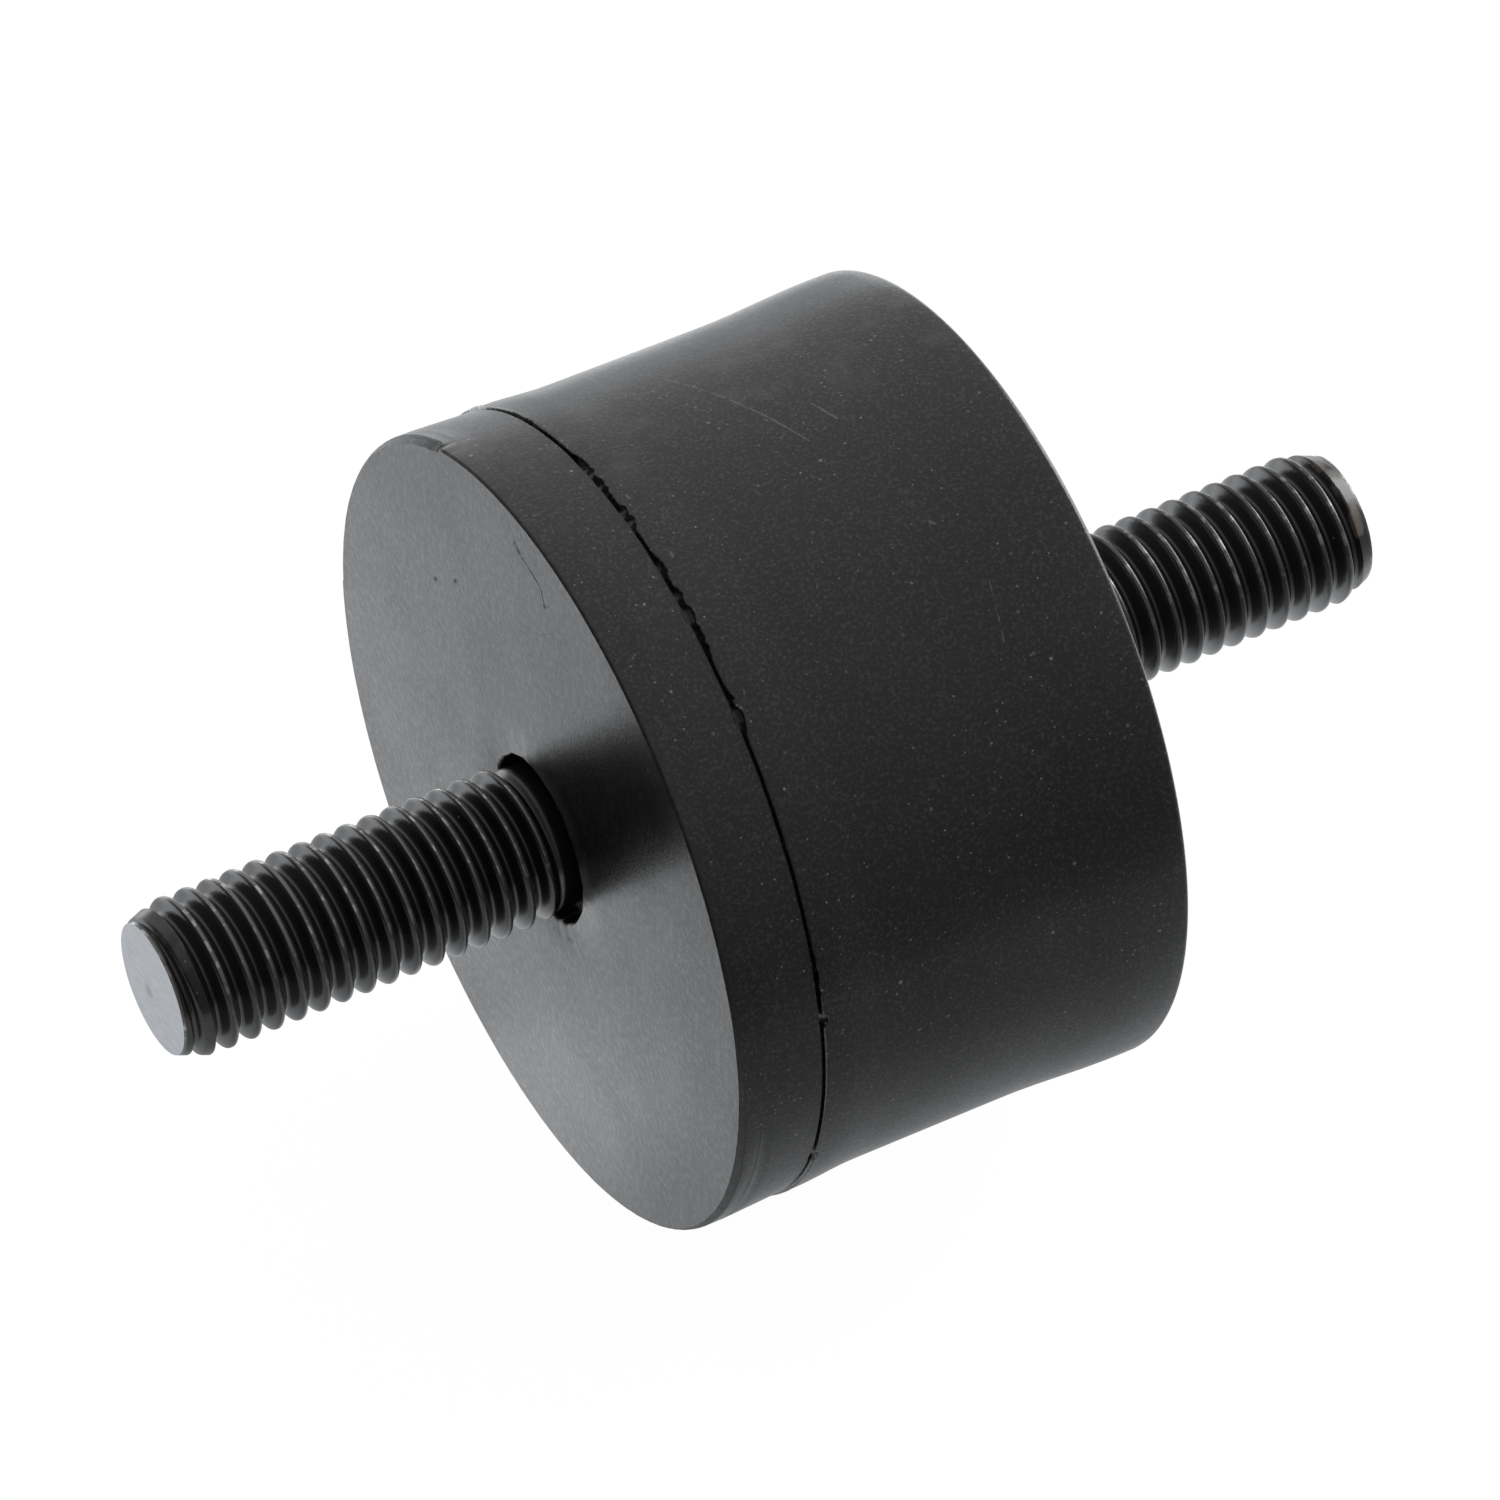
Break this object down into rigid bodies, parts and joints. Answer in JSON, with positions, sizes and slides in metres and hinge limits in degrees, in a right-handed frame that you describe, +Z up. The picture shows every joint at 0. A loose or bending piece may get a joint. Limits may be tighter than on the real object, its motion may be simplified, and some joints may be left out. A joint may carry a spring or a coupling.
{
  "type": "rubber metal buffer",
  "caption": "Round rubber vibration damper with a bonded steel plate and a threaded steel stud at each end, to join a machine and its base without passing on shocks.",
  "frame": {"origin": "middle of the rubber body, on the common axis of the two studs", "axes": "+X along the axis towards the rear stud, so the front stud points to -X; +Z up as the buffer lies on its side"},
  "size_m": [0.0804, 0.05, 0.05],
  "materials": {
    "rubber": "semi-gloss moulded black rubber",
    "plate_steel": "phosphated steel, bonded under the rubber",
    "stud_steel": "black oxide with bare worn edges"
  },
  "bodies": {
    "root": {"rubber_body": "rubber", "front_plate": "plate_steel", "front_stud": "stud_steel", "rear_plate": "plate_steel", "rear_stud": "stud_steel"}
  },
  "joints": []
}
